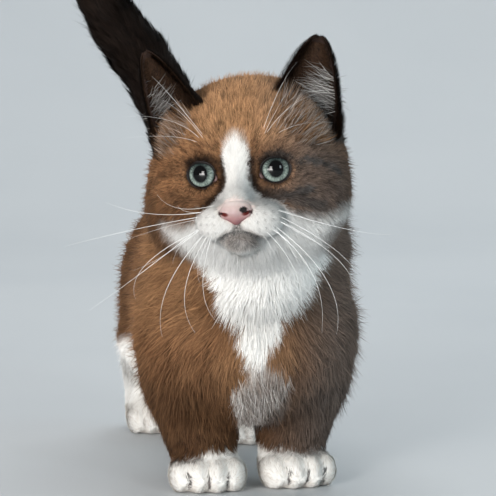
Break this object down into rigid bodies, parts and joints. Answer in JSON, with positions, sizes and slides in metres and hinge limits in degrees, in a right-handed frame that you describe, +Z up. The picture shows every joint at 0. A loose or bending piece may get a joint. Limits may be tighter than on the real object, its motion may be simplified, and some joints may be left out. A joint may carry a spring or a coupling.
{
  "type": "munchkin kitten",
  "caption": "Short-legged munchkin kitten standing with its tail raised and its face turned to one side, brown coat with white blaze, bib and paws.",
  "frame": {"origin": "on the floor, below the middle of the whole animal's box", "axes": "the kitten faces -Y, its left side is +X, +Z up"},
  "size_m": [0.1256, 0.277, 0.2425],
  "materials": {
    "coat_brown": "soft brown fur",
    "coat_white": "soft white fur",
    "coat_dark": "near-black brown fur",
    "nose": "moist pink leather of the nose",
    "eye": "wet, grey-teal iris around a black pupil",
    "lid": "bare black rim of the eyelids"
  },
  "bodies": {
    "root": {"head": "coat_brown", "nose": "nose", "eye_left": "eye", "eye_right": "eye", "eyelid_left": "lid", "eyelid_right": "lid", "ear_left": "coat_dark", "ear_right": "coat_dark", "neck": "coat_brown", "torso": "coat_brown", "foreleg_left": "coat_brown", "foreleg_right": "coat_brown", "forepaw_left": "coat_white", "forepaw_right": "coat_white", "hindleg_left": "coat_white", "hindleg_right": "coat_white", "hindpaw_left": "coat_white", "hindpaw_right": "coat_white", "tail_base": "coat_dark", "tail_tip": "coat_dark"}
  },
  "joints": []
}
